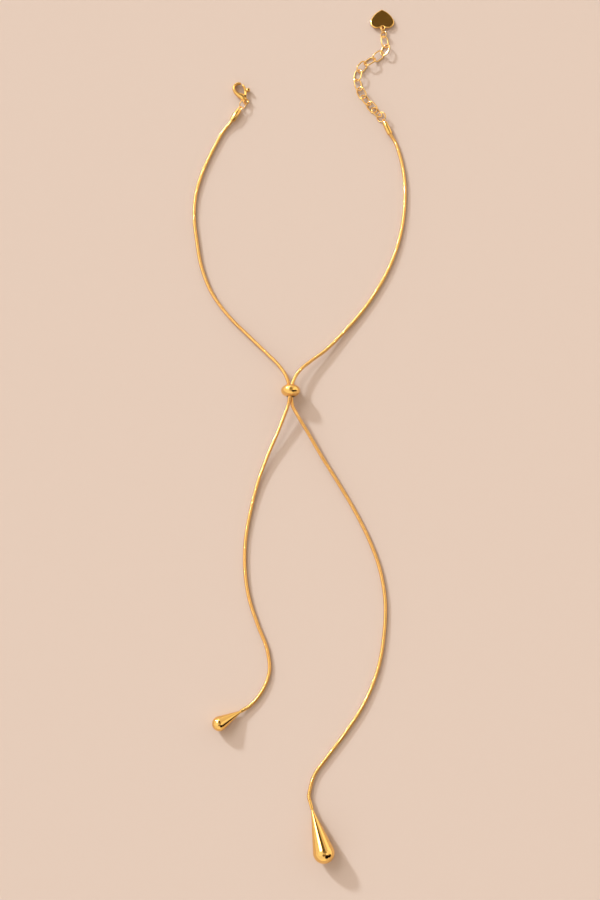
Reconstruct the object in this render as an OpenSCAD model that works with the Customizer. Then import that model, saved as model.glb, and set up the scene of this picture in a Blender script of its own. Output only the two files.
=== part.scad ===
// Lariat necklace: two round snake chains through one sliding bead, a drop on each free end,
// a lobster clasp on one side and an extender with a heart tag on the other.
// It lies open on a flat surface. Millimetres. The surface is z = 0, +Z is up, and +Y runs
// from the drops to the clasp. The origin is under the middle of the whole necklace.

/* [Chain] */
// Diameter of the round snake chain
chain_d = 1.5; // [1.1:0.1:2]
// Free space between a strand and what it passes through
chain_gap = 0.1; // [0.05:0.01:0.2]

/* [Slider bead] */
// Diameter of the bead
bead_d = 8.2; // [7:0.1:11]
// Length of the bead along the strands
bead_len = 5.1; // [3.5:0.1:7]

/* [Drops] */
// Diameter of the large drop's round end
large_drop_d = 8.8; // [7:0.1:11]
// Length of the large drop from its tip to its round end
large_drop_len = 21.9; // [16:0.1:28]
// Length of the large drop's stem
large_stem_len = 3.9; // [2:0.1:6]
// Diameter of the small drop's round end
small_drop_d = 6.1; // [5:0.1:8]
// Length of the small drop from its tip to its round end
small_drop_len = 12.8; // [10:0.1:18]
// Length of the small drop's stem
small_stem_len = 2.3; // [1.5:0.1:5]
// Diameter of the stem of either drop
stem_d = 1.4; // [1.2:0.05:1.6]
// Diameter of the neck where the stem meets the drop's cone
neck_d = 1; // [0.8:0.05:1.1]

/* [End caps] */
// Outer diameter of the tube on each chain end
cap_d = 2.4; // [2.1:0.05:3]
// Length of the tube on each chain end
cap_len = 5.9; // [4.5:0.1:9]
// How deep a chain sits in its tube
cap_depth = 4; // [2:0.1:4]
// Outer diameter of the loop on the tube's closed end
cap_loop_d = 2.2; // [2.1:0.05:2.6]
// Wire of that loop
cap_loop_wire = 0.45; // [0.4:0.05:0.5]

/* [Rings] */
// Outer diameter of the ring that carries the clasp
clasp_ring_d = 4; // [3.6:0.1:6]
// Wire of the ring that carries the clasp
clasp_ring_wire = 0.5; // [0.4:0.05:0.55]
// Outer diameter of the ring that carries the extender
end_ring_d = 4.7; // [4.2:0.1:7]
// Wire of the ring that carries the extender
end_ring_wire = 0.55; // [0.4:0.05:0.6]
// Outer diameter of the two small rings at the heart
tag_ring_d = 3.4; // [3.2:0.1:4.2]
// Wire of the two small rings at the heart
tag_ring_wire = 0.5; // [0.4:0.05:0.55]
// Free play between two pieces that hook into each other
link_play = 0.12; // [0.08:0.01:0.3]

/* [Extender] */
// Outer length of one link
link_len = 6.1; // [5.8:0.1:7]
// Outer width of one link
link_w = 4.2; // [3.9:0.1:5]
// Wire of one link
link_wire = 0.65; // [0.5:0.05:0.7]
// Lean of the links, one way and the other in turn, in degrees
link_lean = 32; // [28:1:40]

/* [Heart tag] */
// Width of the heart
heart_w = 10.7; // [8:0.1:13]
// Height of the heart from its point to the lowest part of its lobes
heart_h = 9.3; // [8:0.1:12]
// Thickness of the heart
heart_t = 0.8; // [0.6:0.05:1]
// Radius of the heart's sides as a share of its width
heart_side = 0.85; // [0.75:0.05:1.2]
// Outer diameter of the eyelet in the heart's notch
heart_eye_d = 2.6; // [2.4:0.05:3]
// Diameter of the hole in the eyelet
heart_hole_d = 1.5; // [1.4:0.05:1.7]

/* [Clasp] */
// Length of the clasp from its hook to the end of its tail
clasp_len = 11.3; // [10:0.1:15]
// Radius of the clasp's round opening
eye_r = 1.65; // [1.6:0.05:2.4]
// Width of the hook's metal at its tip
hook_w = 1.25; // [1:0.05:1.5]
// Thickness of the clasp's body
clasp_t = 2.6; // [2.4:0.1:3.4]
// Outer diameter of the eye at the clasp's tail
tail_eye_d = 2.7; // [2.6:0.05:3.2]
// Wire of the eye at the clasp's tail
tail_eye_wire = 0.55; // [0.45:0.05:0.6]
// Thickness of the lever where it turns between the clasp's cheeks
lever_t = 1; // [0.8:0.05:1.2]
// Diameter of the rivet that the lever turns on
rivet_d = 0.6; // [0.5:0.05:0.8]
// Running clearance of the lever
lever_gap = 0.08; // [0.05:0.01:0.12]
// Diameter of the lever's thumb tab
tab_d = 1.7; // [1.4:0.1:2.2]

/* [Hidden] */

$fn = 48;
gold = "#d9a851";
pale_gold = "#e3bd6b";

// Sides of a strand's tube, and the longest step between two of its rings
tube_sides = 8;
ring_step = 3.6 * chain_d;

// Heights of a strand's middle on the surface and in the bead
chain_r = chain_d / 2;
bead_r = bead_d / 2;

// Where the bead's middle stands, and how far the two strands keep from its axis
bead_at = [-4, 8.8];
pair_r = chain_r + chain_gap;
bead_bore_r = pair_r + chain_r + chain_gap;

// Routes of the four stretches of chain, away from the bead. Each row is x, y and the lift
// as a share of the way up from the surface to the bead's axis.
left_top_route = [
    [-33.6, 127.8, 0], [-38.5, 118.5, 0], [-43, 108, 0], [-45.7, 98, 0], [-46.3, 87, 0],
    [-45.1, 77, 0], [-42.9, 65, 0], [-38.4, 53.3, 0], [-31.1, 42.9, 0.05], [-22.2, 33.7, 0.2],
    [-14.3, 25.7, 0.45], [-9.3, 20.4, 0.7], [-6.5, 16.3, 0.86]
];
right_top_route = [
    [41.7, 123, 0], [44.3, 115, 0], [46, 104, 0], [45.9, 93, 0], [44.3, 81.4, 0],
    [40.8, 69.2, 0], [35.2, 57.4, 0], [27.9, 46.1, 0.02], [18.7, 35.1, 0.12], [10.4, 26.6, 0.35],
    [4.3, 21.8, 0.6], [0.1, 18, 0.82], [-1.7, 15.4, 0.92]
];
left_low_route = [
    [-5.1, 2.2, 1.03], [-6.8, -2.5, 0.87], [-9.7, -9.8, 0.62], [-13.9, -19.6, 0.33], [-17.8, -30.4, 0.12],
    [-20.7, -42, 0.02], [-22.8, -54, 0], [-23.1, -66, 0], [-21.5, -78.1, 0], [-17.6, -90.2, 0],
    [-13.5, -101, 0], [-12.7, -109.5, 0], [-15.4, -117.1, 0], [-19.4, -122.3, 0.04]
];
right_low_route = [
    [-3.2, 2.4, 0.78], [-1.4, -1.1, 0.71], [3, -8.6, 0.52], [9, -19, 0.28], [16.2, -30.7, 0.1],
    [22.9, -42.2, 0.01], [28.9, -54.5, 0], [33.2, -66.5, 0], [35.4, -80, 0], [34.9, -93.5, 0],
    [32, -109, 0], [26.3, -122.6, 0], [18.4, -134.6, 0], [10.7, -144.6, 0], [5.8, -151.4, 0],
    [4, -157, 0.03]
];

// Where each chain ends at its drop, which way the drop lies, and the chain's lift there
large_drop_at = [3.9, -161.2];
large_drop_turn = -74.5;
small_drop_at = [-22.6, -124.7];
small_drop_turn = 210;
drop_lift = 0.14;

// Where each chain leaves its end cap, which way the cap points, and how it rises
left_cap_at = [-30, 132.4];
left_cap_turn = 58.5;
right_cap_at = [39.9, 125.9];
right_cap_turn = 114;
cap_rise = 1.5;

// Steps from one piece to the next: the direction in degrees from +X, and how much closer the
// two lie than they would if pulled tight. First from the left cap's loop to the clasp's ring
// and on to the clasp's eye, then from the right cap's loop along the extender.
clasp_ring_step = [55, 0];
tail_eye_step = [45, 0.1];
end_ring_step = [121, 0];
link_steps = [
    [132, 1.1], [130, 1.5], [129, 0.5], [120, 0.7], [111, 0.5], [91, 0.2], [65, 0.3], [38, 0.2],
    [33, 0.1], [44, 0.4], [92, 0.8]
];
tag_ring_1_step = [98, 0];
tag_ring_2_step = [101, 0.1];

// Directions in which the clasp and the heart lie
clasp_turn = 30;
heart_turn = 1;

// Clearance of the rivet in the clasp's cheeks, and its length as a share of the thickness
rivet_gap = 0.02;
rivet_share = 0.82;

// Leans of the rings, in degrees
clasp_ring_lean = 52;
end_ring_lean = -33;
tag_ring_leans = [-38, 62];

// General functions

function unit(v) = v / norm(v);
function last(list) = list[len(list) - 1];
function turned(a) = [cos(a), sin(a), 0];
function flat(a) = [cos(a), sin(a)];
function arc(centre, r, from, to, steps) =
    [for (i = [0 : steps]) centre + r * flat(from + (to - from) * i / steps)];

// Direction of a smooth curve at point i of p
function heading(p, i) =
    i == 0 ? unit(p[1] - p[0]) :
    i == len(p) - 1 ? unit(p[i] - p[i - 1]) :
    let (a = norm(p[i] - p[i - 1]), b = norm(p[i + 1] - p[i]))
    ((p[i] - p[i - 1]) * b / a + (p[i + 1] - p[i]) * a / b) / (a + b);

// Smooth curve through all the points of p, with no step longer than step
function smooth(p, step) = [
    for (i = [0 : len(p) - 2])
        let (gap = norm(p[i + 1] - p[i]), n = max(1, ceil(gap / step)))
        let (from = heading(p, i) * gap, to = heading(p, i + 1) * gap)
        for (j = [0 : n - 1])
            let (t = j / n)
            (2 * t ^ 3 - 3 * t ^ 2 + 1) * p[i] + (t ^ 3 - 2 * t ^ 2 + t) * from
            + (3 * t ^ 2 - 2 * t ^ 3) * p[i + 1] + (t ^ 3 - t ^ 2) * to,
    last(p)
];

// Sides and ends of a skin over count rings of n points each
function skin(count, n) = concat(
    [for (i = [0 : count - 2], j = [0 : n - 1])
        [(i + 1) * n + j, (i + 1) * n + (j + 1) % n, i * n + (j + 1) % n, i * n + j]],
    [[for (j = [0 : n - 1]) j]],
    [[for (j = [n - 1 : -1 : 0]) (count - 1) * n + j]]
);

// Round tube of diameter d along the points of p
module tube(p, d, sides) {
    points = [
        for (i = [0 : len(p) - 1])
            let (ahead = unit(heading(p, i)), side = unit(cross([0, 0, 1], ahead)), up = cross(ahead, side))
            for (j = [0 : sides - 1])
                p[i] + d / 2 * (cos(360 * j / sides) * side + sin(360 * j / sides) * up)
    ];
    polyhedron(points, skin(len(p), sides), convexity = 10);
}

// Flat-lying form whose rows are x, y, half width and half thickness of oval sections
module loft(rows, sides) {
    middles = [for (row = rows) [row[0], row[1], 0]];
    points = [
        for (i = [0 : len(rows) - 1])
            let (side = unit(cross([0, 0, 1], heading(middles, i))))
            for (j = [0 : sides - 1])
                middles[i] + rows[i][2] * cos(360 * j / sides) * side
                + [0, 0, rows[i][3] * sin(360 * j / sides)]
    ];
    polyhedron(points, skin(len(rows), sides), convexity = 6);
}

// Ring of outer diameter d lying flat about the origin
module ring(d, wire) {
    rotate_extrude() translate([(d - wire) / 2, 0]) circle(d = wire);
}

// Places its children at a point, turned to a direction and leaning about it
module set_at(at, turn, lean) {
    translate(at) rotate([0, 0, turn]) rotate([lean, 0, 0]) children();
}

// Places its children with their +Z along a direction that rises from the surface
module aim_at(at, turn, rise) {
    translate(at) rotate([0, 90 - rise, turn]) children();
}

// Distance from the middle of one hooked piece to the middle of the next
function hooked(len_a, wire_a, len_b, wire_b) =
    (len_a + len_b) / 2 - wire_a - wire_b - link_play;

// Height of the middle of a leaning ring or link that touches the surface
function leaning_z(w, wire, lean) = (w - wire) / 2 * abs(sin(lean)) + wire / 2;

// Strands

function lifted(route) = [for (p = route) [p[0], p[1], chain_r + p[2] * (bead_r - chain_r)]];

// Place of a strand in the bead: along is the way from the bead's middle towards its upper
// end, and the pair turns about the axis so that the strands cross
pair_top_turn = 35;
pair_low_turn = 112;
function in_bead(along, opposite) =
    let (share = (bead_len / 2 - along) / bead_len)
    let (a = pair_top_turn + (pair_low_turn - pair_top_turn) * share + opposite)
    [bead_at[0] + pair_r * cos(a), bead_at[1] + along, bead_r + pair_r * sin(a)];
function bead_stretch(opposite) =
    [for (k = [0.5, 0.17, -0.17, -0.5]) in_bead(k * bead_len, opposite)];

// First two points of a strand, inside its end cap and at the cap's mouth
cap_mouth_z = cap_d / 2 + 0.03;
function cap_stretch(at, turn) =
    let (mouth = [at[0], at[1], cap_mouth_z])
    [mouth + (cap_depth - chain_gap) * axis_of(turn, cap_rise), mouth - chain_gap * axis_of(turn, cap_rise)];
function axis_of(turn, rise) = cos(rise) * turned(turn) + [0, 0, sin(rise)];

// Last two points of a strand, in line with its drop
drop_z = chain_r + drop_lift * (bead_r - chain_r);
drop_run = 1.2;
function drop_point(at) = [at[0], at[1], drop_z];
function drop_stretch(at, turn, rise) = [drop_point(at) - drop_run * axis_of(turn, rise), drop_point(at)];

// Rise of a drop that rests on its round end, with its stem at the chain's height
function drop_rise(d, length, stem_len) = asin((d / 2 - drop_z) / (stem_len + length - d / 2));
large_drop_rise = drop_rise(large_drop_d, large_drop_len, large_stem_len);
small_drop_rise = drop_rise(small_drop_d, small_drop_len, small_stem_len);

left_path = concat(
    cap_stretch(left_cap_at, left_cap_turn), lifted(left_top_route), bead_stretch(180),
    lifted(right_low_route), drop_stretch(large_drop_at, large_drop_turn, large_drop_rise)
);
right_path = concat(
    cap_stretch(right_cap_at, right_cap_turn), lifted(right_top_route), bead_stretch(0),
    lifted(left_low_route), drop_stretch(small_drop_at, small_drop_turn, small_drop_rise)
);

// Smooth middle line of a strand that nowhere sinks into the surface
function laid(path) = [for (p = smooth(path, ring_step)) [p[0], p[1], max(p[2], chain_r)]];

module left_strand() {
    color(gold) tube(laid(left_path), chain_d, tube_sides);
}

module right_strand() {
    color(gold) tube(laid(right_path), chain_d, tube_sides);
}

// Slider bead

// Width of the flat rim between the bead's hole and its round side
bead_rim = 0.15;
bead_arc_steps = 24;

module slider_bead() {
    end_angle = acos((bead_bore_r + bead_rim) / bead_r);
    profile = concat(
        [[bead_bore_r, -bead_len / 2]],
        [for (i = [0 : bead_arc_steps])
            let (a = end_angle * (2 * i / bead_arc_steps - 1))
            [bead_r * cos(a), bead_len / 2 * sin(a) / sin(end_angle)]],
        [[bead_bore_r, bead_len / 2]]
    );
    color(pale_gold)
        translate([bead_at[0], bead_at[1], bead_r])
        rotate([-90, 0, 0])
        rotate_extrude() polygon(profile);
}

// Drops

collar_len = 0.5;
collar_gap = 0.04;
neck_len = 0.3;
drop_arc_steps = 18;

// A drop stands on its stem's foot along +Z: a collar at the chain's end, the stem, a narrow
// neck, a cone and a round end that the cone runs into
module drop(d, length, stem_len) {
    r = d / 2;
    stem_r = stem_d / 2;
    neck_r = neck_d / 2;
    reach = length - r;
    centre = [0, stem_len + reach];
    flare = asin(r / norm([neck_r, reach])) - atan(neck_r / reach);
    profile = concat(
        [[0, collar_gap], [chain_r, collar_gap], [chain_r, collar_len], [stem_r, collar_len]],
        [[stem_r, stem_len - neck_len], [neck_r, stem_len]],
        [for (i = [0 : drop_arc_steps - 1]) centre + r * flat((90 + flare) * i / drop_arc_steps - flare)],
        [[0, stem_len + length]]
    );
    color(pale_gold) rotate_extrude() polygon(profile);
}

module large_drop() {
    aim_at(drop_point(large_drop_at), large_drop_turn, large_drop_rise)
        drop(large_drop_d, large_drop_len, large_stem_len);
}

module small_drop() {
    aim_at(drop_point(small_drop_at), small_drop_turn, small_drop_rise)
        drop(small_drop_d, small_drop_len, small_stem_len);
}

// End caps

cap_edge = 0.2;
cap_loop_sink = 0.15;
cap_loop_out = cap_len + (cap_loop_d - cap_loop_wire) / 2 - cap_loop_sink;

module end_cap(at, turn, loop_lean) {
    r = cap_d / 2;
    bore_r = chain_r + chain_gap;
    profile = [
        [bore_r, 0], [r - cap_edge, 0], [r, cap_edge], [r, cap_len - cap_edge],
        [r - cap_edge, cap_len], [0, cap_len], [0, cap_depth], [bore_r, cap_depth]
    ];
    color(pale_gold)
        aim_at([at[0], at[1], cap_mouth_z], turn, cap_rise)
        union() {
            rotate_extrude() polygon(profile);
            translate([0, 0, cap_loop_out])
                rotate([0, 0, loop_lean])
                rotate([90, 0, 0])
                ring(cap_loop_d, cap_loop_wire);
        }
}

left_loop_lean = 58;
right_loop_lean = -33;

module left_end_cap() {
    end_cap(left_cap_at, left_cap_turn, left_loop_lean);
}

module right_end_cap() {
    end_cap(right_cap_at, right_cap_turn, right_loop_lean);
}

function cap_loop_at(at, turn) =
    [at[0], at[1], cap_mouth_z] + cap_loop_out * axis_of(turn, cap_rise);

// Rings and links, each placed from the piece before it

function next_at(from, step, distance, z) =
    [for (v = [from[0], from[1]] + (distance - step[1]) * flat(step[0])) v, z];

clasp_ring_at = next_at(
    cap_loop_at(left_cap_at, left_cap_turn), clasp_ring_step,
    hooked(cap_loop_d, cap_loop_wire, clasp_ring_d, clasp_ring_wire),
    leaning_z(clasp_ring_d, clasp_ring_wire, clasp_ring_lean)
);
tail_eye_at = next_at(
    clasp_ring_at, tail_eye_step,
    hooked(clasp_ring_d, clasp_ring_wire, tail_eye_d, tail_eye_wire),
    clasp_t / 2
);
end_ring_at = next_at(
    cap_loop_at(right_cap_at, right_cap_turn), end_ring_step,
    hooked(cap_loop_d, cap_loop_wire, end_ring_d, end_ring_wire),
    leaning_z(end_ring_d, end_ring_wire, end_ring_lean)
);

function link_side(i) = i % 2 == 0 ? 1 : -1;
link_z = leaning_z(link_w, link_wire, link_lean);
link_count = len(link_steps);

// Middle of link i, counted from 0
function link_at(i) = i == 0 ?
    next_at(end_ring_at, link_steps[0], hooked(end_ring_d, end_ring_wire, link_len, link_wire), link_z) :
    next_at(link_at(i - 1), link_steps[i], hooked(link_len, link_wire, link_len, link_wire), link_z);

// A link lies half-way between the direction it is reached by and the one it is left by
function link_turn(i) =
    let (after = i == link_count - 1 ? tag_ring_1_step : link_steps[i + 1])
    (link_steps[i][0] + after[0]) / 2;

tag_ring_1_at = next_at(
    link_at(link_count - 1), tag_ring_1_step,
    hooked(link_len, link_wire, tag_ring_d, tag_ring_wire),
    leaning_z(tag_ring_d, tag_ring_wire, tag_ring_leans[0])
);
tag_ring_2_at = next_at(
    tag_ring_1_at, tag_ring_2_step,
    hooked(tag_ring_d, tag_ring_wire, tag_ring_d, tag_ring_wire),
    leaning_z(tag_ring_d, tag_ring_wire, tag_ring_leans[1])
);

module clasp_ring() {
    color(gold) set_at(clasp_ring_at, clasp_ring_step[0], clasp_ring_lean) ring(clasp_ring_d, clasp_ring_wire);
}

module extender_ring() {
    color(gold) set_at(end_ring_at, end_ring_step[0], end_ring_lean) ring(end_ring_d, end_ring_wire);
}

module tag_ring_1() {
    color(gold) set_at(tag_ring_1_at, tag_ring_1_step[0], tag_ring_leans[0]) ring(tag_ring_d, tag_ring_wire);
}

module tag_ring_2() {
    color(gold) set_at(tag_ring_2_at, tag_ring_2_step[0], tag_ring_leans[1]) ring(tag_ring_d, tag_ring_wire);
}

// Oval link with round ends, its long way along X
module link(i) {
    r = (link_w - link_wire) / 2;
    straight = link_len - link_w;
    color(gold)
        set_at(link_at(i), link_turn(i), link_lean * link_side(i))
        for (s = [-1, 1]) {
            translate([s * straight / 2, 0, 0])
                rotate([0, 0, -90 * s])
                rotate_extrude(angle = 180)
                translate([r, 0]) circle(d = link_wire);
            translate([-straight / 2, s * r, 0]) rotate([0, 90, 0]) cylinder(d = link_wire, h = straight);
        }
}

// Heart tag, drawn with its lobes at the bottom, its point up and an eyelet in its notch. It
// touches the surface with its point and is raised at its eyelet.

heart_lobe_r = 0.27 * heart_w;
heart_lobe = [heart_w / 2 - heart_lobe_r, heart_lobe_r];
heart_notch_y = heart_lobe[1] - sqrt(heart_lobe_r ^ 2 - heart_lobe[0] ^ 2);
heart_hole_y = 0.1;
heart_raise = 0.8;
heart_tilt = asin(heart_raise / (heart_h - heart_hole_y));
heart_fill_w = 1.6;
heart_fill_over = 0.5;

// The hole is where the last ring's wire passes through the eyelet's middle height, and a
// share of the free space is left between the wire and the hole's near side
heart_pull = 0.4 * (heart_hole_d - tag_ring_wire) / 2;
heart_across = (heart_raise + heart_t / 2 - tag_ring_2_at[2]) / sin(tag_ring_leans[1]);
heart_along = sqrt(((tag_ring_d - tag_ring_wire) / 2) ^ 2 - heart_across ^ 2) - heart_pull;
heart_hole_at = [tag_ring_2_at[0], tag_ring_2_at[1], heart_raise]
    + heart_along * turned(tag_ring_2_step[0])
    + heart_across * cos(tag_ring_leans[1]) * turned(tag_ring_2_step[0] + 90);

// Right half of the heart's outline, from its notch round the lobe to its point
function heart_half() =
    let (r = heart_side * heart_w, point = [0, heart_h], to_lobe = heart_lobe - point)
    let (bend = acos((r ^ 2 + norm(to_lobe) ^ 2 - (r - heart_lobe_r) ^ 2) / (2 * r * norm(to_lobe))))
    let (aim = atan2(to_lobe[1], to_lobe[0]) - bend, centre = point + r * flat(aim))
    let (out = heart_lobe - centre, side_start = atan2(out[1], out[0]))
    let (notch_turn = atan2(heart_notch_y - heart_lobe[1], -heart_lobe[0]))
    let (side = arc(centre, r, side_start, aim + 180, 8))
    concat(arc(heart_lobe, heart_lobe_r, notch_turn, side_start, 22), [for (i = [1 : 8]) side[i]]);

module heart_tag() {
    half = heart_half();
    other_half = [for (i = [len(half) - 2 : -1 : 1]) [-half[i][0], half[i][1]]];
    color(gold)
        translate(heart_hole_at)
        rotate([0, 0, heart_turn])
        rotate([-heart_tilt, 0, 0])
        translate([0, -heart_hole_y, 0])
        difference() {
            union() {
                linear_extrude(heart_t) polygon(concat(half, other_half));
                translate([0, heart_hole_y, 0]) cylinder(d = heart_eye_d, h = heart_t);
                translate([-heart_fill_w / 2, heart_hole_y, 0])
                    cube([heart_fill_w, heart_notch_y - heart_hole_y + heart_fill_over, heart_t]);
            }
            translate([0, heart_hole_y, -1]) cylinder(d = heart_hole_d, h = heart_t + 2);
        }
}

// Clasp, drawn flat with the middle of its round opening at the origin and its tail along -Y

hook_r = eye_r + hook_w / 2;
tail_reach = clasp_len - eye_r - hook_w - tail_eye_d / 2;
tail_x = -0.145 * hook_r;

// Hook from its tip round the opening: direction from the opening's middle, and the half
// width and half thickness as shares of the hook's width and the clasp's thickness
hook_table = [
    [35, 0.2, 0.2], [40, 0.33, 0.3], [56, 0.44, 0.39], [80, 0.5, 0.42], [105, 0.51, 0.44],
    [130, 0.53, 0.45], [155, 0.56, 0.46], [182, 0.6, 0.47]
];

// Body from the hook to the tail: x as a share of the hook's radius, way down to the tail,
// half width as a share of the hook's radius and half thickness as a share of the thickness
body_table = [
    [-0.93, 0.23, 0.35, 0.48], [-0.67, 0.4, 0.48, 0.5], [-0.33, 0.56, 0.6, 0.5],
    [-0.2, 0.7, 0.64, 0.48], [-0.15, 0.83, 0.46, 0.38], [-0.145, 0.91, 0.24, 0.24]
];

// Lever from its tip to its pivot, in the same shares as the body
lever_table = [
    [0.9, -0.125, 0.11, 0.12], [0.94, -0.085, 0.19, 0.2], [1, 0, 0.23, 0.25], [0.97, 0.17, 0.25, 0.24],
    [0.83, 0.34, 0.25, 0.18], [0.58, 0.51, 0.24, 0.18], [0.3, 0.645, 0.22, 0.18]
];
pivot = [0.145 * hook_r, -0.7 * tail_reach];
boss_r = 0.31 * hook_r;
tab_at = [1.4 * hook_r, -0.39 * tail_reach];
tab_root = [0.85 * hook_r, -0.33 * tail_reach];
tab_neck_d = 0.6 * tab_d;
clasp_step = 0.5;
clasp_sides = 14;

function along_tail(table) =
    [for (row = table) [row[0] * hook_r, -row[1] * tail_reach, row[2] * hook_r, row[3] * clasp_t]];
hook_rows = [
    for (row = hook_table)
        [hook_r * cos(row[0]), hook_r * sin(row[0]), row[1] * hook_w, row[2] * clasp_t]
];

module on_clasp() {
    translate(tail_eye_at) rotate([0, 0, clasp_turn]) translate([-tail_x, tail_reach, 0]) children();
}

module clasp_body() {
    slot_t = lever_t + 2 * lever_gap;
    slot_r = boss_r + lever_gap;
    color(gold) on_clasp() {
        difference() {
            loft(smooth(concat(hook_rows, along_tail(body_table)), clasp_step), clasp_sides);
            translate([pivot[0], pivot[1], -slot_t / 2]) {
                cylinder(r = slot_r, h = slot_t);
                translate([-slot_r, 0, 0]) cube([hook_r * 2, tail_reach / 2, slot_t]);
            }
            translate([pivot[0], pivot[1], -clasp_t]) cylinder(d = rivet_d + 2 * rivet_gap, h = 2 * clasp_t);
        }
        translate([tail_x, -tail_reach, 0]) ring(tail_eye_d, tail_eye_wire);
    }
}

module clasp_lever() {
    color(pale_gold) on_clasp() difference() {
        union() {
            loft(smooth(along_tail(lever_table), clasp_step), clasp_sides);
            translate([pivot[0], pivot[1], -lever_t / 2]) cylinder(r = boss_r, h = lever_t);
            translate([tab_at[0], tab_at[1], 0]) sphere(d = tab_d);
            tab_arm = tab_at - tab_root;
            translate([tab_root[0], tab_root[1], 0])
                rotate([0, 90, atan2(tab_arm[1], tab_arm[0])])
                cylinder(d = tab_neck_d, h = norm(tab_arm));
        }
        translate([pivot[0], pivot[1], -lever_t]) cylinder(d = rivet_d + 2 * lever_gap, h = 2 * lever_t);
    }
}

module clasp_rivet() {
    rivet_len = rivet_share * clasp_t;
    color(pale_gold) on_clasp() translate([pivot[0], pivot[1], -rivet_len / 2]) cylinder(d = rivet_d, h = rivet_len);
}

left_strand();
right_strand();
slider_bead();
large_drop();
small_drop();
left_end_cap();
right_end_cap();
clasp_ring();
clasp_body();
clasp_lever();
clasp_rivet();
extender_ring();
for (i = [0 : link_count - 1])
    link(i);
tag_ring_1();
tag_ring_2();
heart_tag();
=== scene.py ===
# Looks of the lariat necklace: woven snake chains, polished drops and bead, clasp, extender and
# heart. Blender works in metres. Lengths are written here in millimetres and angles in degrees,
# and MM or a function turns them over.

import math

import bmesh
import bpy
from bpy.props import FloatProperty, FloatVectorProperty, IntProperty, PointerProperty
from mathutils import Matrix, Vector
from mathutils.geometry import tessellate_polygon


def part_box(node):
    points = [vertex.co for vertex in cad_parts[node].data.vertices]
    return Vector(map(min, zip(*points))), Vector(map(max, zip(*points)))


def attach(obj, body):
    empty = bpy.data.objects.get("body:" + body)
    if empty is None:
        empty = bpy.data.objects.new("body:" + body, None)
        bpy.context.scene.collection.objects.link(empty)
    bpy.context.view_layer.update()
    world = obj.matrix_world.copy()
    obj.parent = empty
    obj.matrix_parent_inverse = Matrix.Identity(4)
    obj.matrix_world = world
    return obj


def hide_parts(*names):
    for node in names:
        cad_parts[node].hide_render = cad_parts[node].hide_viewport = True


bl_info = {
    "name": "Lariat necklace",
    "version": (1, 0, 0),
    "blender": (4, 5, 0),
    "location": "3D View > Sidebar > Necklace",
    "description": "Dresses the necklace's solids in chain links, rounded edges and gold",
    "category": "Object",
}

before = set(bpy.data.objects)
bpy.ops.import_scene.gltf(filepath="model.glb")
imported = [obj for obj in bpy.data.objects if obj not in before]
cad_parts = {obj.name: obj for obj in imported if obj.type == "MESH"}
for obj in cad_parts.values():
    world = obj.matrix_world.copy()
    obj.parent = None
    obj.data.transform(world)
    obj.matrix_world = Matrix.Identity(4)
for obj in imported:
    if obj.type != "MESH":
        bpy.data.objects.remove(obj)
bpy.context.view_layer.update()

MM = 0.001

# Points of a mesh that are closer than this, in metres, are one point
WELD = 1e-7
# Faces that meet at more than this angle have a sharp edge between them
SHARP = 35
# Radius of the small flat face that a turned form ends in at its axis
TIP_R = 0.02
# Share of an edge's size that the middle point of its rounding keeps from both faces
EDGE_MIDDLE = 0.3
# Sides of a large turned form, a ring's circle and a small turned form
LARGE_SIDES = 128
RING_SIDES = 96
SMALL_SIDES = 48


# General helpers

def linear(hex_colour):
    """sRGB hex as linear red, green, blue and a full alpha."""
    parts = [int(hex_colour[i:i + 2], 16) / 255 for i in (1, 3, 5)]
    return [p / 12.92 if p <= 0.04045 else ((p + 0.055) / 1.055) ** 2.4 for p in parts] + [1.0]


def add_node(tree, kind, inputs=(), **settings):
    """Adds a node. An input is set to a value, or linked where it is given a socket."""
    node = tree.nodes.new(kind)
    for name, value in settings.items():
        setattr(node, name, value)
    for key, value in dict(inputs).items():
        if isinstance(value, bpy.types.NodeSocket):
            tree.links.new(value, node.inputs[key])
        else:
            node.inputs[key].default_value = value
    return node


def new_object(name, data):
    piece = bpy.data.objects.new(name, data)
    bpy.context.scene.collection.objects.link(piece)
    return piece


def mesh_of(name, points, faces, smooth=True):
    """Mesh in metres from points in millimetres, with its faces turned outwards."""
    mesh = bpy.data.meshes.new(name)
    mesh.from_pydata([[c * MM for c in p] for p in points], [], faces)
    work = bmesh.new()
    work.from_mesh(mesh)
    bmesh.ops.remove_doubles(work, verts=work.verts, dist=WELD)
    bmesh.ops.recalc_face_normals(work, faces=work.faces)
    work.to_mesh(mesh)
    work.free()
    for face in mesh.polygons:
        face.use_smooth = smooth
    return mesh


def applied(piece, name):
    """Plain mesh object with the piece's modifiers applied. The piece itself goes."""
    seen = piece.evaluated_get(bpy.context.evaluated_depsgraph_get())
    mesh = bpy.data.meshes.new_from_object(seen)
    mesh.name = name
    bpy.data.objects.remove(piece)
    return new_object(name, mesh)


def cut(piece, tool, operation="DIFFERENCE"):
    """Cuts a tool object out of a piece, or joins it on, and removes the tool."""
    modifier = piece.modifiers.new("Cut", "BOOLEAN")
    modifier.operation = operation
    modifier.solver = "EXACT"
    modifier.object = tool
    piece = applied(piece, piece.name)
    bpy.data.objects.remove(tool)
    return piece


def crisp(piece, angle=SHARP):
    """Shades a piece smooth, with sharp edges where its faces meet at more than the angle."""
    for face in piece.data.polygons:
        face.use_smooth = True
    piece.data.set_sharp_from_angle(angle=math.radians(angle))


def move(piece, matrix):
    """Moves a piece's mesh, so that its object stays at the origin."""
    piece.data.transform(matrix)
    return piece


def settle(piece, node):
    """Moves a piece so that the middle of its box is where the source's solid has its own."""
    low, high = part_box(node)
    spans = [[v.co[i] for v in piece.data.vertices] for i in range(3)]
    middle = Vector([(min(span) + max(span)) / 2 for span in spans])
    return move(piece, Matrix.Translation((Vector(low) + Vector(high)) / 2 - middle))


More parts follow.
